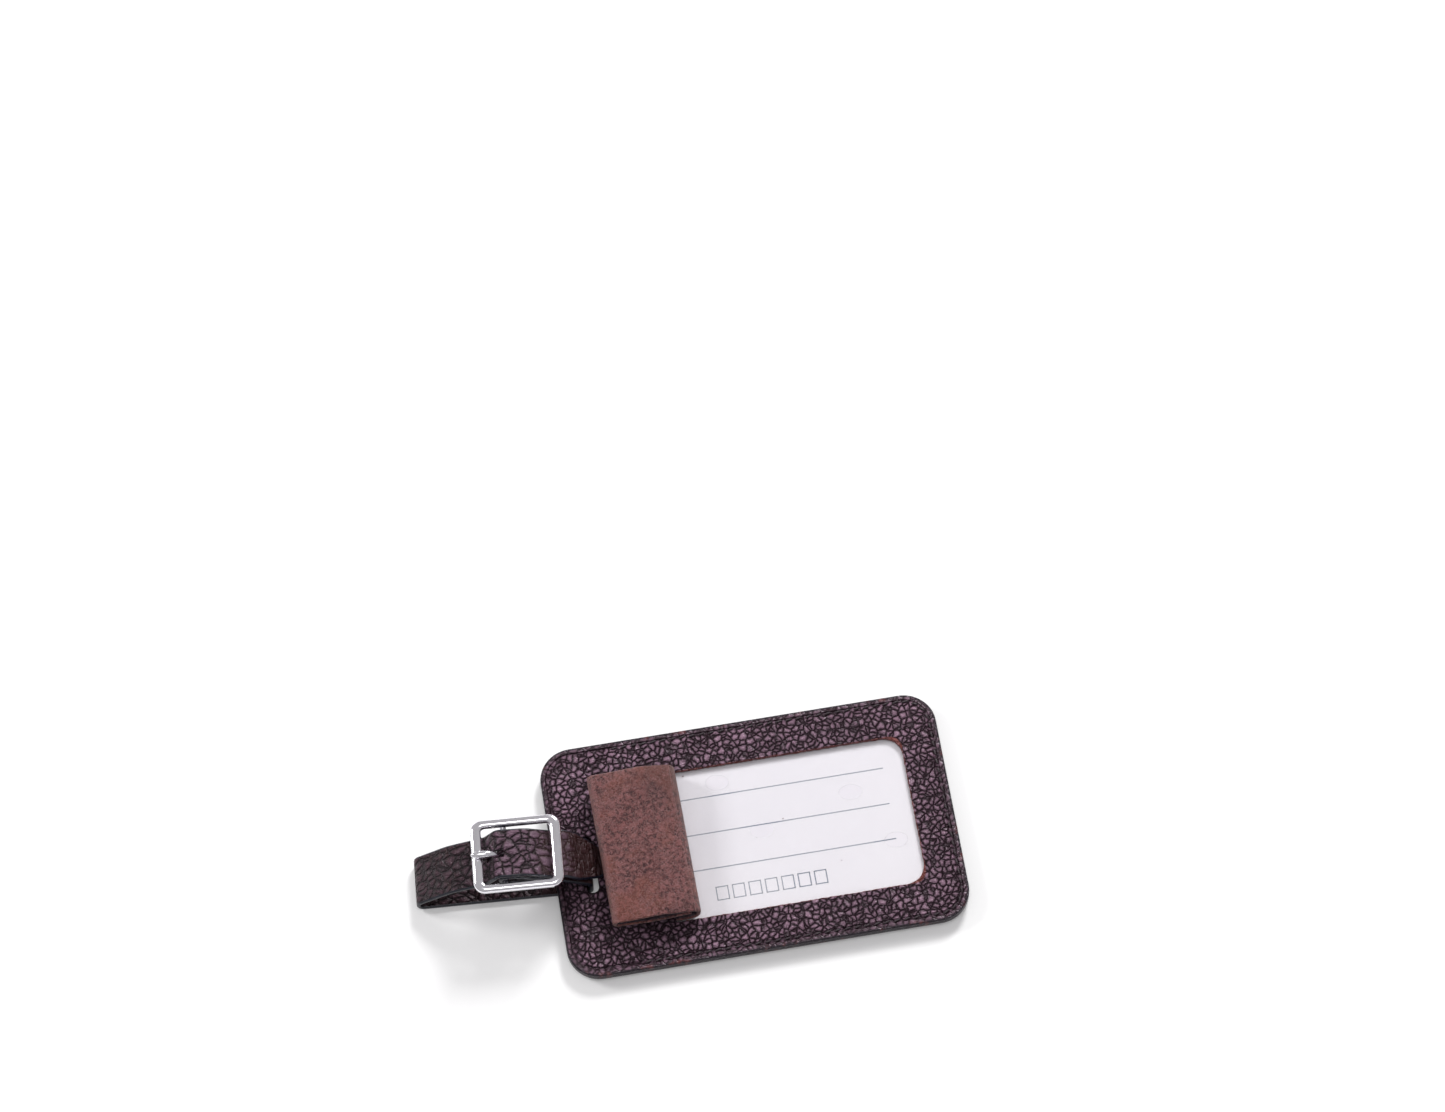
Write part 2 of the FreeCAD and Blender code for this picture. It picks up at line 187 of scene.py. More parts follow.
def panel_material(name, dark, light, window):
    """Pebbled panel leather: smooth crushed margin, seam groove, black painted edge, worn corners, and a
    painted highlight on the pebble tops in the light colour.
    """
    nodes = Nodes(name)
    grain = pebbles(nodes, 1.65 * MM)
    edge = nodes.box_distance((TAG_X, 0), (TAG_LENGTH / 2, TAG_WIDTH / 2), TAG_CORNER)
    margin = nodes.step(edge, -2.4, -1.5)
    height = nodes.math("MULTIPLY", grain, nodes.step(margin, 0.0, 1.0, 1.0, 0.25))
    groove = nodes.math("SUBTRACT", 1.0, nodes.step(
        nodes.math("ABSOLUTE", nodes.math("ADD", edge, 2.0)), 0.15, 0.75))
    height = nodes.math("SUBTRACT", height, nodes.math("MULTIPLY", groove, 0.9))
    patches = nodes.noise(90.0, 3.0)
    # Painted highlight: the pebble tops are mixed toward the light colour, more strongly on some patches.
    painted_highlight_tops = nodes.step(grain, 0.35, 1.0)
    body = nodes.mix(nodes.math("MULTIPLY", painted_highlight_tops, nodes.step(patches, 0.3, 0.7, 0.7, 1.0)), dark, light)
    body = nodes.mix(nodes.math("MULTIPLY", margin, 0.45), body, dark)
    paint = nodes.step(edge, -0.75, -0.35)
    wear = nodes.math("MULTIPLY", nodes.step(nodes.noise(260.0, 5.0), 0.55, 0.68),
                      nodes.step(edge, -1.4, -0.5))
    body = nodes.mix(paint, body, colour(11, 11, 18))
    body = nodes.mix(nodes.math("MULTIPLY", wear, 0.7), body, colour(96, 48, 46))
    if window:
        middle = (TAG_X + (WINDOW_LEFT + WINDOW_RIGHT) / 2, 0)
        half = ((WINDOW_RIGHT - WINDOW_LEFT) / 2, WINDOW_HALF)
        opening = nodes.box_distance(middle, half, WINDOW_CORNER * 0.6)
        ragged = nodes.math("ADD", opening, nodes.math("MULTIPLY", nodes.noise(900.0, 4.0), -0.5))
        body = nodes.mix(nodes.step(ragged, 0.15, -0.25), body, colour(110, 62, 56))
    rough = nodes.step(nodes.noise(700.0, 4.0), 0.3, 0.7, 0.3, 0.44)
    normal = nodes.bump(height, 0.75 * MM, 1.0)
    normal = nodes.bump(nodes.noise(5200.0, 3.0), 0.03 * MM, 0.6, normal)
    return nodes.finish(Base_Color=body, Roughness=rough, Normal=normal, Specular_IOR_Level=0.45,
                        Specular_Tint=(1.0, 0.84, 0.95, 1.0))


def strap_material():
    nodes = Nodes("strap_leather")
    grain = pebbles(nodes, 2.6 * MM, (1.0, 1.3, 0.6))
    x, _, z = nodes.split()
    creases = nodes.noise(420.0, 3.0, place=nodes.add(
        "ShaderNodeVectorMath", {0: nodes.place, 1: (3.2, 0.5, 1.0)}, operation="MULTIPLY").outputs[0])
    near_tag = nodes.step(x, (TAG_X - 62.0) * MM, (TAG_X - 54.0) * MM)
    height = nodes.math("ADD", nodes.math("MULTIPLY", grain, nodes.step(near_tag, 0.0, 1.0, 1.0, 0.35)),
                        nodes.math("MULTIPLY", creases, nodes.step(near_tag, 0.0, 1.0, 0.2, 1.3)))
    body = nodes.mix(nodes.step(grain, 0.3, 1.0), colour(16, 6, 8), colour(62, 42, 50))
    body = nodes.mix(nodes.math("MULTIPLY", near_tag, 0.75), body, colour(46, 24, 21))
    body = nodes.mix(nodes.math("MULTIPLY", nodes.step(creases, 0.55, 0.7), 0.3), body, colour(72, 50, 48))
    # Painted sheen: where the strap runs high through the buckle (11 to 16 mm up), its pebble tops are
    # lightened as a painted highlight.
    painted_sheen = nodes.math("MULTIPLY", nodes.step(z, 11.0 * MM, 16.0 * MM), nodes.step(grain, 0.25, 0.95))
    body = nodes.mix(nodes.math("MULTIPLY", painted_sheen, 0.75), body, colour(112, 88, 104))
    rough = nodes.step(nodes.noise(800.0, 4.0), 0.3, 0.7, 0.38, 0.55)
    normal = nodes.bump(height, 0.8 * MM, 1.0)
    return nodes.finish(Base_Color=body, Roughness=rough, Normal=normal, Specular_IOR_Level=0.38,
                        Specular_Tint=(1.0, 0.84, 0.92, 1.0))


def edge_paint_material():
    nodes = Nodes("edge_paint")
    body = nodes.mix(nodes.noise(600.0, 4.0), colour(8, 9, 15), colour(32, 35, 50))
    normal = nodes.bump(nodes.noise(1500.0, 3.0), 0.08 * MM, 0.8)
    return nodes.finish(Base_Color=body, Roughness=0.32, Normal=normal, Specular_IOR_Level=0.6)


def suede_material():
    """Flesh side: short matted fibres over a warm brown, lighter where it is rubbed."""
    nodes = Nodes("suede")
    x, y, _ = nodes.split()
    fibres = nodes.noise(2600.0, 5.0, 0.7, distortion=1.2)
    clumps = nodes.noise(900.0, 5.0, 0.65, distortion=0.8)
    patches = nodes.noise(75.0, 3.0)
    body = nodes.mix(nodes.step(clumps, 0.4, 0.6), colour(58, 29, 31), colour(128, 80, 79))
    body = nodes.mix(nodes.step(fibres, 0.52, 0.72), body, colour(172, 128, 126))
    body = nodes.mix(nodes.math("MULTIPLY", nodes.step(fibres, 0.45, 0.3), 0.8), body, colour(40, 22, 24))
    body = nodes.mix(nodes.math("MULTIPLY", nodes.step(patches, 0.48, 0.62), 0.4), body,
                     colour(138, 80, 66))
    shade = nodes.math("MULTIPLY", nodes.step(y, 2.0 * MM, 17.0 * MM),
                       nodes.step(x, (TAG_X - 34.0) * MM, (TAG_X - 22.0) * MM))
    body = nodes.mix(nodes.math("MULTIPLY", shade, 0.4), body, colour(50, 28, 29))
    height = nodes.math("ADD", fibres, nodes.math("MULTIPLY", clumps, 0.8))
    normal = nodes.bump(height, 0.45 * MM, 1.0)
    return nodes.finish(Base_Color=body, Roughness=0.95, Normal=normal, Specular_IOR_Level=0.15,
                        Sheen_Weight=0.35, Sheen_Roughness=0.5)


def grain_inside_material():
    nodes = Nodes("flap_grain")
    grain = pebbles(nodes, 1.6 * MM)
    body = nodes.mix(grain, colour(36, 22, 26), colour(84, 68, 76))
    return nodes.finish(Base_Color=body, Roughness=0.5, Normal=nodes.bump(grain, 0.25 * MM, 0.9))


def chrome_material():
    nodes = Nodes("polished_metal")
    tint = nodes.mix(nodes.noise(170.0, 2.0), (0.96, 0.95, 0.97, 1), (0.88, 0.86, 0.92, 1))
    rough = nodes.step(nodes.noise(900.0, 4.0), 0.35, 0.7, 0.1, 0.18)
    normal = nodes.bump(nodes.noise(300.0, 2.0), 0.004 * MM, 0.4)
    return nodes.finish(Base_Color=tint, Metallic=1.0, Roughness=rough, Normal=normal)


def thread_material():
    nodes = Nodes("waxed_thread")
    x, y, _ = nodes.split()
    twist = nodes.math("SINE", nodes.math("MULTIPLY", nodes.math("ADD", x, nodes.math("MULTIPLY", y, 1.3)),
                                          9000.0))
    body = nodes.mix(nodes.noise(2500.0, 3.0), colour(20, 12, 18), colour(58, 42, 50))
    return nodes.finish(Base_Color=body, Roughness=0.55, Normal=nodes.bump(twist, 0.04 * MM, 0.8))


def film_material():
    nodes = Nodes("clear_film")
    ripples = nodes.noise(38.0, 2.0, distortion=0.6)
    normal = nodes.bump(ripples, 0.15 * MM, 0.4)
    specks = nodes.step(nodes.noise(420.0, 2.0, 0.4), 0.765, 0.785)
    body = nodes.mix(specks, (1.0, 1.0, 1.0, 1.0), colour(92, 50, 46))
    opacity = nodes.step(specks, 0.0, 1.0, 0.16, 0.85)
    return nodes.finish(Base_Color=body, Roughness=0.06, Alpha=opacity, Normal=normal,
                        Specular_IOR_Level=0.7, IOR=1.49)


def card_material():
    nodes = Nodes("card_stock")
    tone = nodes.mix(nodes.noise(25.0, 3.0), colour(206, 202, 211), colour(218, 214, 220))
    fibre = nodes.noise(1800.0, 4.0)
    body = nodes.mix(nodes.math("MULTIPLY", fibre, 0.06), tone, colour(190, 184, 196))
    return nodes.finish(Base_Color=body, Roughness=0.6, Normal=nodes.bump(fibre, 0.01 * MM, 0.5))


def ink_material():
    nodes = Nodes("printed_ink")
    body = nodes.mix(nodes.noise(1500.0, 4.0), colour(72, 84, 104), colour(98, 108, 128))
    return nodes.finish(Base_Color=body, Roughness=0.7)


# ---------------------------------------------------------------- mesh helpers

def new_mesh(name, points, faces, materials, slots=None, smooth=True):
    """Make an object from points in millimetres in the row frame."""
    mesh = bpy.data.meshes.new(name)
    mesh.from_pydata([Vector(point) * MM for point in points], [], faces)
    mesh.update()
    for material in materials:
        mesh.materials.append(material)
    for polygon in mesh.polygons:
        polygon.use_smooth = smooth
        if slots:
            polygon.material_index = slots[polygon.index]
    item = bpy.data.objects.new(name, mesh)
    bpy.context.collection.objects.link(item)
    return item


def rounded_rectangle(left, right, bottom, top, corners, steps=10):
    """Outline points, anticlockwise. corners gives the radii from the bottom left, anticlockwise."""
    places = [(left, bottom), (right, bottom), (right, top), (left, top)]
    points = []
    for index, ((x, y), radius) in enumerate(zip(places, corners)):
        if radius <= 0:
            points.append((x, y))
            continue
        centre_x = x + radius * (1 if index in (0, 3) else -1)
        centre_y = y + radius * (1 if index in (0, 1) else -1)
        for step in range(steps + 1):
            angle = math.pi + (index + step / steps) * math.pi / 2
            points.append((centre_x + radius * math.cos(angle), centre_y + radius * math.sin(angle)))
    return points


def plate(name, outlines, bottom, top, bevel, materials):
    """A flat piece with holes and rounded edges: outer outline first, then each hole's."""
    curve = bpy.data.curves.new(name + "_outline", "CURVE")
    curve.dimensions = "2D"
    curve.fill_mode = "BOTH"
    curve.extrude = ((top - bottom) / 2 - bevel) * MM
    curve.bevel_depth = bevel * MM
    curve.bevel_resolution = 3
    curve.offset = -bevel * MM
    for outline in outlines:
        spline = curve.splines.new("POLY")
        spline.points.add(len(outline) - 1)
        for point, (x, y) in zip(spline.points, outline):
            point.co = ((x + TAG_X) * MM, y * MM, 0, 1)
        spline.use_cyclic_u = True
    holder = bpy.data.objects.new(name + "_curve", curve)
    bpy.context.collection.objects.link(holder)
    bpy.context.view_layer.update()
    mesh = bpy.data.meshes.new_from_object(holder.evaluated_get(bpy.context.evaluated_depsgraph_get()))
    bpy.data.objects.remove(holder)
    mesh.transform(Matrix.Translation((0, 0, (bottom + top) / 2 * MM)))
    mesh.name = name
    mesh.materials.clear()
    for material in materials:
        mesh.materials.append(material)
    item = bpy.data.objects.new(name, mesh)
    bpy.context.collection.objects.link(item)
    weld(item)
    for polygon in mesh.polygons:
        polygon.use_smooth = abs(polygon.normal.z) < 0.999
    return item


def weld(item, distance=0.002):
    """Join points closer than distance (mm) and turn every face outwards."""
    work = bmesh.new()
    work.from_mesh(item.data)
    bmesh.ops.remove_doubles(work, verts=work.verts, dist=distance * MM)
    bmesh.ops.recalc_face_normals(work, faces=work.faces)
    work.to_mesh(item.data)
    work.free()


def rounded_route(route, arc_step=8.0, run_step=1.2):
    """Points (x, z, heading) along straight runs joined by tangent arcs."""
    points = [Vector((x, z)) for x, z, _ in route]
    line = []

    def run(start, end):
        count = max(1, int((end - start).length / run_step))
        heading = math.atan2(end.y - start.y, end.x - start.x)
        for step in range(count + 1):
            place = start.lerp(end, step / count)
            if not line or (place - Vector(line[-1][:2])).length > 0.02:
                line.append((place.x, place.y, heading))

    start = points[0]
    for before, corner, after, (_, _, radius) in zip(points, points[1:], points[2:], route[1:]):
        into = (corner - before).normalized()
        out = (after - corner).normalized()
        turn = math.atan2(into.x * out.y - into.y * out.x, into.dot(out))
        reach = radius * math.tan(abs(turn) / 2)
        arc_start = corner - into * reach
        run(start, arc_start)
        side = math.copysign(1, turn)
        centre = arc_start + Vector((-into.y, into.x)) * radius * side
        heading = math.atan2(into.y, into.x)
        count = max(2, int(abs(math.degrees(turn)) / arc_step))
        for step in range(1, count + 1):
            angle = heading + turn * step / count
            place = centre + Vector((math.sin(angle), -math.cos(angle))) * radius * side
            line.append((place.x, place.y, angle))
        start = Vector(line[-1][:2])
    run(start, points[-1])
    return line


def strip_section(half_width, half_thick, corner, steps=3):
    """Closed section (across, through) of a strip with rounded edges, with its face's slot: 0 for the
    outer side, 1 for the rounded edge and 2 for the inner side."""
    across = 14
    section = []
    slots = []
    flat = half_width - corner
    for index in range(across + 1):
        section.append((-flat + 2 * flat * index / across, half_thick))
        slots.append(0 if index < across else 1)
    for step in range(1, 2 * steps + 1):
        angle = math.pi / 2 - math.pi * step / (2 * steps)
        section.append((flat + corner * math.cos(angle), half_thick * math.sin(angle)))
        slots.append(1)
    slots[-1] = 2
    for index in range(1, across + 1):
        section.append((flat - 2 * flat * index / across, -half_thick))
        slots.append(2 if index < across else 1)
    for step in range(1, 2 * steps):
        angle = -math.pi / 2 - math.pi * step / (2 * steps)
        section.append((-flat + corner * math.cos(angle), half_thick * math.sin(angle)))
        slots.append(1)
    return section, slots


def sweep_strip(name, line, thick, middle, half_at, materials, warp):
    """Sweep a rounded strip along line; half_at(travel) gives its half width in mm."""
    travel = 0.0
    points = []
    faces = []
    slots = []
    count = 0
    for index, (x, z, heading) in enumerate(line):
        if index:
            travel += math.dist((x, z), line[index - 1][:2])
        section, marks = strip_section(half_at(travel), thick / 2, thick * 0.42)
        count = len(section)
        for across, through in section:
            y = middle + across
            point = Vector((x - math.sin(heading) * through, y, z + math.cos(heading) * through))
            points.append(warp(point, travel))
        if index:
            base = (index - 1) * count
            for corner in range(count):
                after = (corner + 1) % count
                faces.append((base + corner, base + after, base + count + after, base + count + corner))
                slots.append(marks[corner])
    faces.append(tuple(range(count)))
    faces.append(tuple(range(len(points) - 1, len(points) - count - 1, -1)))
    slots += [1, 1]
    item = new_mesh(name, points, faces, materials, slots)
    weld(item)
    return item


# ---------------------------------------------------------------- panels

def slot_outline(wide, long):
    """Outline of a round-ended slot at the strap's place."""
    return rounded_rectangle(SLOT_X - wide / 2, SLOT_X + wide / 2, SLOT_Y - long / 2, SLOT_Y + long / 2,
                             [wide / 2 - 0.05] * 4)


def make_panels():
    outer = rounded_rectangle(-TAG_LENGTH / 2, TAG_LENGTH / 2, -TAG_WIDTH / 2, TAG_WIDTH / 2,
                              [TAG_CORNER] * 4, steps=16)
    slot = slot_outline(SLOT_WIDE, SLOT_LONG)
    tight_slot = slot_outline(SLOT_WIDE - 0.1, SLOT_LONG - 1.6)
    window = rounded_rectangle(WINDOW_LEFT, WINDOW_RIGHT, -WINDOW_HALF, WINDOW_HALF,
                               [0, WINDOW_CORNER, WINDOW_CORNER, 0])
    window = ragged(window)
    # The light colour given to panel_material is the painted highlight on the pebble tops, here and for
    # the backing below.
    front = plate("front_leather", [outer, slot, window], PANEL_LOW.z, PANEL_HIGH.z, PANEL_ROUND,
                  [panel_material("panel_leather", colour(28, 9, 18), colour(142, 112, 130), True)])
    backing = panel_material("back_leather", colour(26, 10, 18), colour(106, 82, 97), False)
    back = plate("back_leather", [outer, tight_slot], BACK_LOW.z, RECESS_FLOOR, BACK_ROUND, [backing])
    recess = rounded_rectangle(-TAG_LENGTH / 2 + 1.5, RECESS_RIGHT, -RECESS_HALF, RECESS_HALF, [1.0] * 4)
    rim = plate("back_rim", [outer, recess], RECESS_FLOOR - 0.5, BACK_HIGH.z + 0.3, RIM_ROUND, [backing])
    for piece, node, slot_name in ((front, "front_panel", "leather_front"),
                                   (back, "back_panel", "leather_back"),
                                   (rim, "back_panel", "leather_back")):
        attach(piece, "tag")
        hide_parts(node)


def ragged(outline, spacing=0.7, depth=0.09):
    """Cut an outline into short runs and push each point a little in or out."""
    points = []
    for (x0, y0), (x1, y1) in zip(outline, outline[1:] + outline[:1]):
        count = max(1, int(math.dist((x0, y0), (x1, y1)) / spacing))
        for step in range(count):
            part = step / count
            points.append((x0 + (x1 - x0) * part + random.uniform(-depth, depth),
                           y0 + (y1 - y0) * part + random.uniform(-depth, depth)))
    return points


# ---------------------------------------------------------------- card and film

CARD_LINES = (13.4, 2.8, -7.6)
LINE_LEFT, LINE_RIGHT, LINE_WIDE = -30.0, 38.2, 0.36
BOX_LEFT, BOX_STEP, BOX_COUNT, BOX_LOW, BOX_HIGH = -12.6, 4.5, 7, -17.1, -13.0
BOX_SHARE = 0.78
PRINT_RISE = 0.012


def make_card():
    low, high = node_box("id_card")
    outline = rounded_rectangle(low.x - TAG_X, high.x - TAG_X, low.y, high.y, [2.5] * 4)
    card = plate("card_sheet", [outline], low.z, high.z, 0.05, [card_material()])
    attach(card, "card")
    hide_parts("id_card")
    rectangles = [(LINE_LEFT, LINE_RIGHT, y - LINE_WIDE / 2, y + LINE_WIDE / 2) for y in CARD_LINES]
    for number in range(BOX_COUNT):
        left = BOX_LEFT + number * BOX_STEP
        right = left + BOX_STEP * BOX_SHARE
        wide = LINE_WIDE * 0.9
        rectangles += [
            (left, right, BOX_LOW, BOX_LOW + wide), (left, right, BOX_HIGH - wide, BOX_HIGH),
            (left, left + wide, BOX_LOW, BOX_HIGH), (right - wide, right, BOX_LOW, BOX_HIGH),
        ]
    points = []
    faces = []
    level = high.z + PRINT_RISE
    for left, right, bottom, top in rectangles:
        base = len(points)
        corners = ((left, bottom), (right, bottom), (right, top), (left, top))
        points += [(x + TAG_X, y, level) for x, y in corners]
        faces.append((base, base + 1, base + 2, base + 3))
    print_marks = new_mesh("card_print", points, faces, [ink_material()], smooth=False)
    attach(print_marks, "card")


def make_film():
    """Clear film: a thin sheet with a faint swell, a hair under the front panel."""
    low, high = node_box("window_film")
    across, along = 60, 90
    points = []
    faces = []
    for level in (0, 1):
        for row in range(across + 1):
            for column in range(along + 1):
                x = low.x + (high.x - low.x) * column / along
                y = low.y + (high.y - low.y) * row / across
                wave = 0.02 * math.sin(x * 0.21 + y * 0.13) + 0.015 * math.sin(y * 0.34 - x * 0.09)
                z = (low.z if level == 0 else high.z) - 0.04 + wave
                points.append((x, y, z))
    sheet = (along + 1) * (across + 1)
    for row in range(across):
        for column in range(along):
            base = row * (along + 1) + column
            quad = (base, base + 1, base + along + 2, base + along + 1)
            faces.append(tuple(index + sheet for index in quad))
            faces.append(tuple(reversed(quad)))
    rim = list(range(along + 1))
    rim += [row * (along + 1) + along for row in range(1, across + 1)]
    rim += [across * (along + 1) + column for column in range(along - 1, -1, -1)]
    rim += [row * (along + 1) for row in range(across - 1, 0, -1)]
    for start, end in zip(rim, rim[1:] + rim[:1]):
        faces.append((start, end, end + sheet, start + sheet))
    film = new_mesh("film_sheet", points, faces, [film_material()])
    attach(film, "tag")
    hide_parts("window_film")


# ---------------------------------------------------------------- seam

SEAM_INSET, SEAM_START, SEAM_PITCH = 2.0, -33.6, 2.7
STITCH_LONG, STITCH_THICK = 2.15, 0.33
STITCH_SLANT = math.radians(13)


def seam_places():
    """Middle and heading of each stitch: along one side, round the right end and back."""
    half_width = TAG_WIDTH / 2 - SEAM_INSET
    end_x = TAG_LENGTH / 2 - SEAM_INSET
    radius = TAG_CORNER - SEAM_INSET
    side = end_x - radius - SEAM_START
    quarter = radius * math.pi / 2
    total = 2 * (side + quarter + half_width - radius)
    count = int(total // SEAM_PITCH)
    for number in range(count + 1):
        travel = total * number / count
        mirrored = travel > total / 2
        left = total - travel if mirrored else travel
        if left < side:
            x, y, heading = SEAM_START + left, half_width, 0.0
        elif left < side + quarter:
            heading = -(left - side) / radius
            x = end_x - radius - radius * math.sin(heading)
            y = half_width - radius + radius * math.cos(heading)
        else:
            x, y, heading = end_x, half_width - radius - (left - side - quarter), -math.pi / 2
        yield (x, -y, -heading) if mirrored else (x, y, heading)


def make_seam(name, node, level, upward, thread):
    """Each stitch is a plump slanted lozenge of thread that dives into the leather at both ends."""
    points = []
    faces = []
    rings, spokes = 7, 8
    for x, y, heading in seam_places():
        slant = heading + STITCH_SLANT + random.uniform(-0.06, 0.06)
        long = STITCH_LONG + random.uniform(-0.1, 0.1)
        base = len(points)
        for ring in range(rings):
            part = ring / (rings - 1)
            thick = STITCH_THICK * math.sin(math.pi * (0.1 + 0.8 * part)) ** 0.6
            along = (part - 0.5) * long
            rise = 0.24 * math.sin(math.pi * part) - 0.14
            for spoke in range(spokes):
                angle = 2 * math.pi * spoke / spokes
                across = thick * math.cos(angle)
                up = rise + thick * 0.8 * math.sin(angle)
                points.append((
                    x + TAG_X + along * math.cos(slant) - across * math.sin(slant),
                    y + along * math.sin(slant) + across * math.cos(slant),
                    level + up * upward))
        for ring in range(rings - 1):
            for spoke in range(spokes):
                after = (spoke + 1) % spokes
                low, high = base + ring * spokes, base + (ring + 1) * spokes
                faces.append((low + spoke, high + spoke, high + after, low + after))
        faces.append(tuple(base + spoke for spoke in range(spokes)))
        faces.append(tuple(base + (rings - 1) * spokes + spoke for spoke in reversed(range(spokes))))
    seam = new_mesh(name, points, faces, [thread])
    weld(seam, 0.0005)
    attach(seam, "tag")
    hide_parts(node)


# ---------------------------------------------------------------- privacy flap

FLAP_LOW_END, FLAP_HIGH_END = 0.84, 1.16
FLAP_BASE, FLAP_THICK = 3.25, 1.05
FLAP_ROUTE = [
    (WINDOW_LEFT + 0.05, FLAP_BASE, 0),
    (-18.7, 3.75, 2.2),
    (-18.3, 9.4, 2.2),
    (-28.0, 11.2, 14.0),
    (-41.6, 10.2, 1.5),
    (-41.2, 7.0, 1.2),
    (-29.0, 6.5, 20.0),
    (-20.6, 7.9, 0),
]
ROOT_END = 11.0
NAP_COUNT = 9000


def flap_warp(point, travel):
    """The roll stands a little higher at its +Y end, and its faces wave slightly."""
    part = (point.y + WINDOW_HALF) / (2 * WINDOW_HALF)
    scale = FLAP_LOW_END + (FLAP_HIGH_END - FLAP_LOW_END) * part
    wave = 0.12 * math.sin(point.y * 0.31 + travel * 0.4) * min(travel / 6, 1)
    height = FLAP_BASE + (point.z - FLAP_BASE) * (1 + (scale - 1) * min(max(travel - 2, 0) / 8, 1)) + wave
    lean = 0.8 * (part - 0.5) * min(travel / 10, 1)
    return Vector((point.x + TAG_X - lean, point.y, height))


def make_flap(suede, grain):
    line = rounded_route(FLAP_ROUTE, arc_step=6.0, run_step=0.8)
    width = WINDOW_HALF - 0.3
    travel = [0.0]
    for first, second in zip(line, line[1:]):
        travel.append(travel[-1] + math.dist(first[:2], second[:2]))
    cut = next(index for index, value in enumerate(travel) if value > ROOT_END)
    offset = travel[cut]
    root = sweep_strip("flap_fold", line[:cut + 1], FLAP_THICK, 0.0, lambda value: width,
                       [grain, suede, suede], flap_warp)
    roll = sweep_strip("flap_roll", line[cut:], FLAP_THICK, 0.0, lambda value: width,
                       [grain, suede, suede], lambda point, value: flap_warp(point, value + offset))
    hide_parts("flap_root")
    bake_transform(root)
    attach(roll, "flap")
    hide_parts("privacy_flap")
    make_nap(line[cut:], offset)


def nap_material():
    nodes = Nodes("suede_nap")
    body = nodes.mix(nodes.noise(1400.0, 3.0), colour(84, 48, 48), colour(190, 146, 144))
    return nodes.finish(Base_Color=body, Roughness=0.9, Specular_IOR_Level=0.1)


def make_nap(line, offset):
    """Loose fibres that lie on the roll's outer face, each a thin blade with its own bend."""
    points = []
    faces = []
    spans = [index for index in range(len(line) - 1) for _ in range(3)]
    for _ in range(NAP_COUNT):
        index = random.choice(spans)
        (x0, z0, heading), (x1, z1, _) = line[index], line[index + 1]
        part = random.random()
        y = random.uniform(-1, 1) * (WINDOW_HALF - 0.5)
        turn = random.uniform(0, math.pi)
        long = random.uniform(0.35, 0.95)
        wide = random.uniform(0.03, 0.06)
        base = len(points)
        for step in range(3):
            along = (step / 2 - 0.5) * long
            rise = FLAP_THICK / 2 + 0.01 + 0.09 * step * random.random()
            bend = turn + 0.5 * step * (random.random() - 0.5)
            for side in (-1, 1):
                across = side * wide * (1 - 0.4 * step)
                travel = along * math.cos(bend) - across * math.sin(bend)
                shift = along * math.sin(bend) + across * math.cos(bend)
                middle_x = x0 + (x1 - x0) * part + travel * math.cos(heading)
                middle_z = z0 + (z1 - z0) * part + travel * math.sin(heading)
                place = Vector((middle_x + math.sin(heading) * rise, y + shift,
                                middle_z - math.cos(heading) * rise))
                points.append(flap_warp(place, offset + index * 0.8))
        faces += [(base, base + 1, base + 3, base + 2), (base + 2, base + 3, base + 5, base + 4)]
    nap = new_mesh("flap_nap", points, faces, [nap_material()])
    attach(nap, "flap")


# ---------------------------------------------------------------- strap

BAR_X, BAR_Z, BAR_RADIUS = -67.5, 14.9, 0.85
FOLD = BAR_RADIUS + 0.08 + 0.6
STRAP_HALF, STRAP_THICK = 6.9, 1.2
TIP_TAPER, TIP_HALF = 12.5, 2.6
STRAP_ROUTE = [
    (-60.2, 12.5, 0),
    (BAR_X - FOLD, BAR_Z - FOLD, FOLD),
    (BAR_X - FOLD, BAR_Z + FOLD, FOLD),
    (-65.6, BAR_Z + FOLD, 3.0),
    (-54.8, 12.3, 3.0),
    (SLOT_X, 5.5, 1.5),
    (SLOT_X, 0.6, 1.0),
    (-92.2, 0.6, 1.5),
    (-92.4, 3.6, 2.4),
    (-83.0, 10.0, 14.0),
    (-72.7, 13.6, 3.0),
    (-69.2, 18.1, 2.2),
    (-61.6, 17.5, 5.0),
    (-55.3, 14.3, 3.0),
    (-51.6, 14.0, 4.0),
    (-43.2, 5.2, 2.5),
    (-38.4, 4.5, 0),
]


def to_frame(points):
    """Turn points of the strap's own straight layout into the row frame."""
    return [YAW_MATRIX @ Vector(point) for point in points]


def cut_box(item, centre, size):
    """Cut a box out of a piece; centre is in the strap's straight layout, in mm."""
    bpy.ops.mesh.primitive_cube_add(size=1)
    cutter = bpy.context.object
    cutter.matrix_world = (Matrix.Scale(MM, 4) @ YAW_MATRIX @ Matrix.Translation(centre)
                           @ Matrix.Diagonal(Vector(size).to_4d()))
    modifier = item.modifiers.new("hole", "BOOLEAN")
    modifier.operation = "DIFFERENCE"
    modifier.solver = "EXACT"
    modifier.object = cutter
    bpy.context.view_layer.update()
    result = bpy.data.meshes.new_from_object(item.evaluated_get(bpy.context.evaluated_depsgraph_get()))
    item.modifiers.clear()
    item.data = result
    bpy.data.objects.remove(cutter)


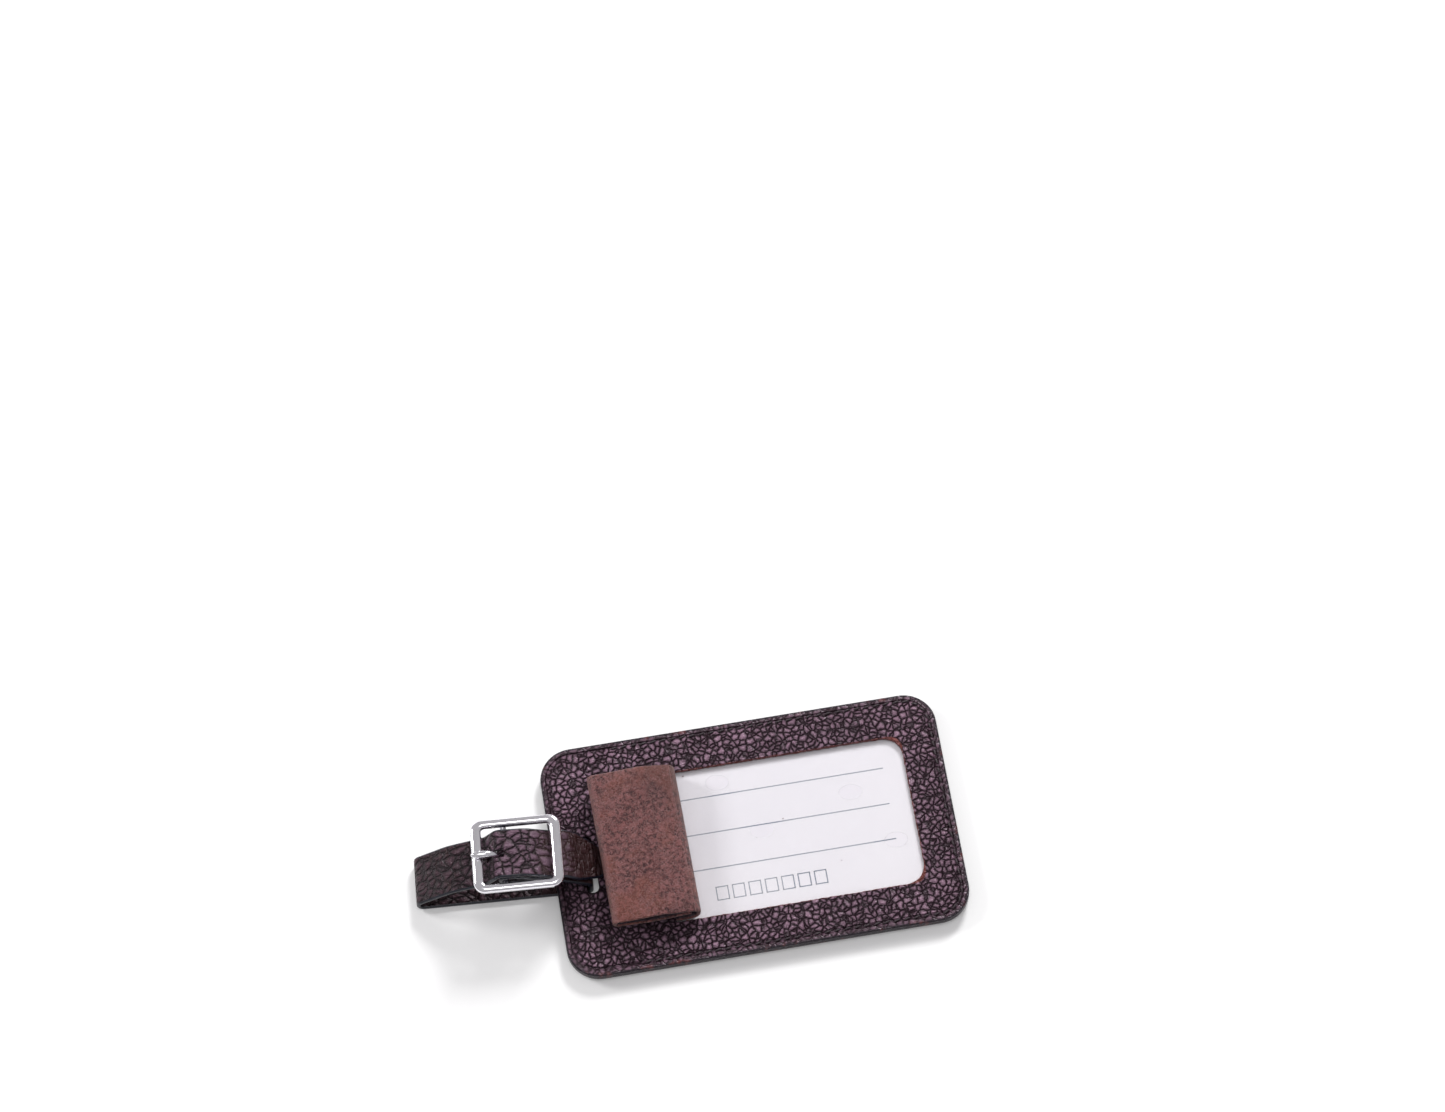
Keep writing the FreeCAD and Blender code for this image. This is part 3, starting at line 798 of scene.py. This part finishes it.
def make_strap(leather, paint):
    line = rounded_route(STRAP_ROUTE, arc_step=9.0, run_step=1.0)
    total = sum(math.dist(first[:2], second[:2]) for first, second in zip(line, line[1:]))

    def half_at(travel):
        left = total - travel
        if left > TIP_TAPER:
            return STRAP_HALF
        return TIP_HALF + (STRAP_HALF - TIP_HALF) * (left / TIP_TAPER) ** 0.75

    def place(point, travel):
        return YAW_MATRIX @ point

    strap = sweep_strip("strap_leather", line, STRAP_THICK - 0.04, SLOT_Y, half_at,
                        [leather, paint, leather], place)
    cut_box(strap, (BAR_X, SLOT_Y, BAR_Z - 0.3), (5.2, 2.6, 4.7))
    cut_box(strap, (BAR_X - 2.4, SLOT_Y, 16.9), (4.9, 2.4, 4.6))
    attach(strap, "strap")
    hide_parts("strap")


# ---------------------------------------------------------------- buckle

FRAME_LEFT, FRAME_RIGHT, FRAME_WIDTH = -76.3, -51.8, 20.9
SIDE_WIDE, RAIL_WIDE, FRAME_BOTTOM, FRAME_THICK = 3.0, 2.3, 15.6, 2.3
OUTER_CORNER, INNER_CORNER = 3.2, 1.1
SECTION_POWER = 0.85


def make_frame(metal):
    """Cast frame: a rounded section carried round a rounded rectangle, wider in the two sides."""
    half_y = FRAME_WIDTH / 2
    outer = rounded_rectangle(FRAME_LEFT, FRAME_RIGHT, SLOT_Y - half_y, SLOT_Y + half_y,
                              [OUTER_CORNER] * 4, 12)
    inner = rounded_rectangle(FRAME_LEFT + SIDE_WIDE, FRAME_RIGHT - SIDE_WIDE, SLOT_Y - half_y + RAIL_WIDE,
                              SLOT_Y + half_y - RAIL_WIDE, [INNER_CORNER] * 4, 12)
    spokes = 32
    middle = FRAME_BOTTOM + FRAME_THICK / 2
    points = []
    faces = []
    for (outer_x, outer_y), (inner_x, inner_y) in zip(outer, inner):
        for spoke in range(spokes):
            angle = 2 * math.pi * spoke / spokes
            part = 0.5 + 0.5 * math.copysign(abs(math.cos(angle)) ** SECTION_POWER, math.cos(angle))
            up = math.copysign(abs(math.sin(angle)) ** SECTION_POWER, math.sin(angle)) * FRAME_THICK / 2
            points.append((inner_x + (outer_x - inner_x) * part, inner_y + (outer_y - inner_y) * part,
                           middle + up))
    count = len(outer)
    for station in range(count):
        following = (station + 1) % count
        for spoke in range(spokes):
            after = (spoke + 1) % spokes
            faces.append((station * spokes + spoke, following * spokes + spoke,
                          following * spokes + after, station * spokes + after))
    item = new_mesh("buckle_ring", to_frame(points), faces, [metal])
    weld(item)
    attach(item, "buckle")
    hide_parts("buckle_frame")


def tube(path, radii, spokes=16):
    """Points and faces of a closed round tube along path, with a radius at each point."""
    points = []
    faces = []
    for index, (place, radius) in enumerate(zip(path, radii)):
        before = path[max(index - 1, 0)]
        after = path[min(index + 1, len(path) - 1)]
        along = (after - before).normalized()
        side = along.cross(Vector((0, 0, 1)) if abs(along.z) < 0.9 else Vector((1, 0, 0))).normalized()
        up = side.cross(along)
        for spoke in range(spokes):
            angle = 2 * math.pi * spoke / spokes
            points.append(place + (side * math.cos(angle) + up * math.sin(angle)) * radius)
    for station in range(len(path) - 1):
        for spoke in range(spokes):
            after = (spoke + 1) % spokes
            faces.append((station * spokes + spoke, station * spokes + after,
                          (station + 1) * spokes + after, (station + 1) * spokes + spoke))
    faces.append(tuple(reversed(range(spokes))))
    faces.append(tuple(range((len(path) - 1) * spokes, len(path) * spokes)))
    return points, faces


def make_bar(metal):
    """Centre bar, swelling into a lug where it meets each rail."""
    reach = FRAME_WIDTH / 2 - RAIL_WIDE * 0.6
    stations = 24
    path = []
    radii = []
    for station in range(stations + 1):
        part = 2 * station / stations - 1
        path.append(Vector((BAR_X, SLOT_Y + reach * part, BAR_Z + 0.45 * max(abs(part) - 0.86, 0) / 0.14)))
        radii.append(BAR_RADIUS + 0.25 * max(abs(part) - 0.88, 0) / 0.12)
    points, faces = tube(path, radii)
    item = new_mesh("buckle_centre_bar", to_frame(points), faces, [metal])
    weld(item)
    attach(item, "buckle")
    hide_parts("buckle_bar")


def make_prong(metal):
    """Prong: one wire, curled round the bar, up through the strap and over the frame's side."""
    eye = 1.32
    path = []
    radii = []
    for step in range(13):
        angle = math.radians(-200 + 305 * step / 12)
        path.append(Vector((BAR_X + eye * math.cos(angle), SLOT_Y, BAR_Z + eye * math.sin(angle))))
        radii.append(0.42 + 0.1 * step / 12)
    knots = [Vector((-68.7, SLOT_Y, 16.4)), Vector((-70.2, SLOT_Y, 17.9)), Vector((-71.5, SLOT_Y, 18.75)),
             Vector((-73.2, SLOT_Y, 18.9)), Vector((-74.9, SLOT_Y, 18.85)), Vector((-75.7, SLOT_Y, 18.75)),
             Vector((-76.2, SLOT_Y, 18.7)), Vector((-76.4, SLOT_Y, 18.68))]
    sizes = [0.75, 0.9, 0.95, 0.98, 0.98, 0.88, 0.6, 0.2]
    path += knots
    radii += sizes
    points, faces = tube(path, radii)
    item = new_mesh("buckle_tongue", to_frame(points), faces, [metal])
    smooth = item.modifiers.new("round", "SUBSURF")
    smooth.levels = smooth.render_levels = 1
    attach(item, "prong")
    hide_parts("buckle_prong")


def make_strap_stitches(thread):
    """Row of stitches under the strap's turned-back end."""
    points = []
    faces = []
    for step in (-1.5, -0.5, 0.5, 1.5):
        middle = SLOT_Y + step * SEAM_PITCH
        path = [Vector((-61.8, middle + part * 1.05, 11.95 - 0.14 * (1 - part * part)))
                for part in (-1, -0.6, -0.2, 0.2, 0.6, 1)]
        more, ring = tube(path, [0.12, 0.24, 0.27, 0.27, 0.24, 0.12], 8)
        base = len(points)
        points += more
        faces += [tuple(index + base for index in face) for face in ring]
    item = new_mesh("strap_end_thread", to_frame(points), faces, [thread])
    weld(item)
    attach(item, "strap")
    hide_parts("strap_stitches")


# ---------------------------------------------------------------- stage

def make_stage():
    nodes = Nodes("pale_floor")
    body = nodes.mix(nodes.noise(3.0, 2.0), (0.80, 0.80, 0.80, 1), (0.82, 0.82, 0.82, 1))
    material = nodes.finish(Base_Color=body, Roughness=0.9, Specular_IOR_Level=0.0,
                            Emission_Color=(1.0, 1.0, 1.0, 1.0), Emission_Strength=0.14)
    half = 3000
    floor = new_mesh("floor", [(-half, -half, 0), (half, -half, 0), (half, half, 0), (-half, half, 0)],
                     [(0, 1, 2, 3)], [material], smooth=False)
    world = bpy.data.worlds.new("studio")
    world.use_nodes = True
    background = world.node_tree.nodes["Background"]
    tree = world.node_tree
    direction = tree.nodes.new("ShaderNodeSeparateXYZ")
    tree.links.new(tree.nodes.new("ShaderNodeTexCoord").outputs["Generated"], direction.inputs[0])
    ramp = tree.nodes.new("ShaderNodeValToRGB")
    ramp.color_ramp.elements[0].position = 0.05
    ramp.color_ramp.elements[0].color = (0.10, 0.07, 0.14, 1)
    ramp.color_ramp.elements[1].position = 0.3
    ramp.color_ramp.elements[1].color = (1.0, 0.98, 1.0, 1)
    tree.links.new(direction.outputs["Z"], ramp.inputs[0])
    tree.links.new(ramp.outputs["Color"], background.inputs["Color"])
    background.inputs["Strength"].default_value = 0.42
    bpy.context.scene.world = world
    for name, place, size, power in (
        ("key", (0.42, 0.78, 0.62), 0.28, 10.0),
        ("side", (-0.72, 0.42, 0.5), 0.25, 4.0),
        ("overhead", (0.0, -0.15, 1.3), 0.5, 2.5),
    ):
        light = bpy.data.lights.new(name, "AREA")
        light.size = size
        light.energy = power
        item = bpy.data.objects.new(name, light)
        item.location = place
        item.rotation_euler = (-Vector(place)).to_track_quat("-Z", "Y").to_euler()
        bpy.context.collection.objects.link(item)
    bpy.context.scene.view_settings.view_transform = "Standard"


def make_camera():
    """Above and in front of the tag, turned so that its long side rises to the right."""
    azimuth, tilt, roll = (math.radians(angle) for angle in (5.104, 25.446, -4.56))
    forward = Vector((math.sin(azimuth) * math.sin(tilt), math.cos(azimuth) * math.sin(tilt),
                      -math.cos(tilt)))
    level = Vector((math.cos(azimuth), -math.sin(azimuth), 0))
    upright = level.cross(forward)
    right = level * math.cos(roll) + upright * math.sin(roll)
    up = upright * math.cos(roll) - level * math.sin(roll)
    place = Vector((-41.93 + TAG_X, -443.70, 1117.24)) * MM
    camera = bpy.data.cameras.new("camera")
    camera.sensor_width = 36.0
    camera.lens = 109.6
    camera.clip_end = 20.0
    item = bpy.data.objects.new("camera", camera)
    item.matrix_world = Matrix((
        (right.x, up.x, -forward.x, place.x),
        (right.y, up.y, -forward.y, place.y),
        (right.z, up.z, -forward.z, place.z),
        (0, 0, 0, 1),
    ))
    bpy.context.collection.objects.link(item)
    bpy.context.scene.camera = item


make_camera()
make_stage()
make_panels()
make_card()
make_film()
stitch_thread = thread_material()
make_seam("front_thread", "front_stitches", PANEL_HIGH.z, 1, stitch_thread)
make_seam("back_thread", "back_stitches", BACK_LOW.z, -1, stitch_thread)
make_flap(suede_material(), grain_inside_material())
make_strap(strap_material(), edge_paint_material())
steel = chrome_material()
make_frame(steel)
make_bar(steel)
make_prong(steel)
make_strap_stitches(stitch_thread)
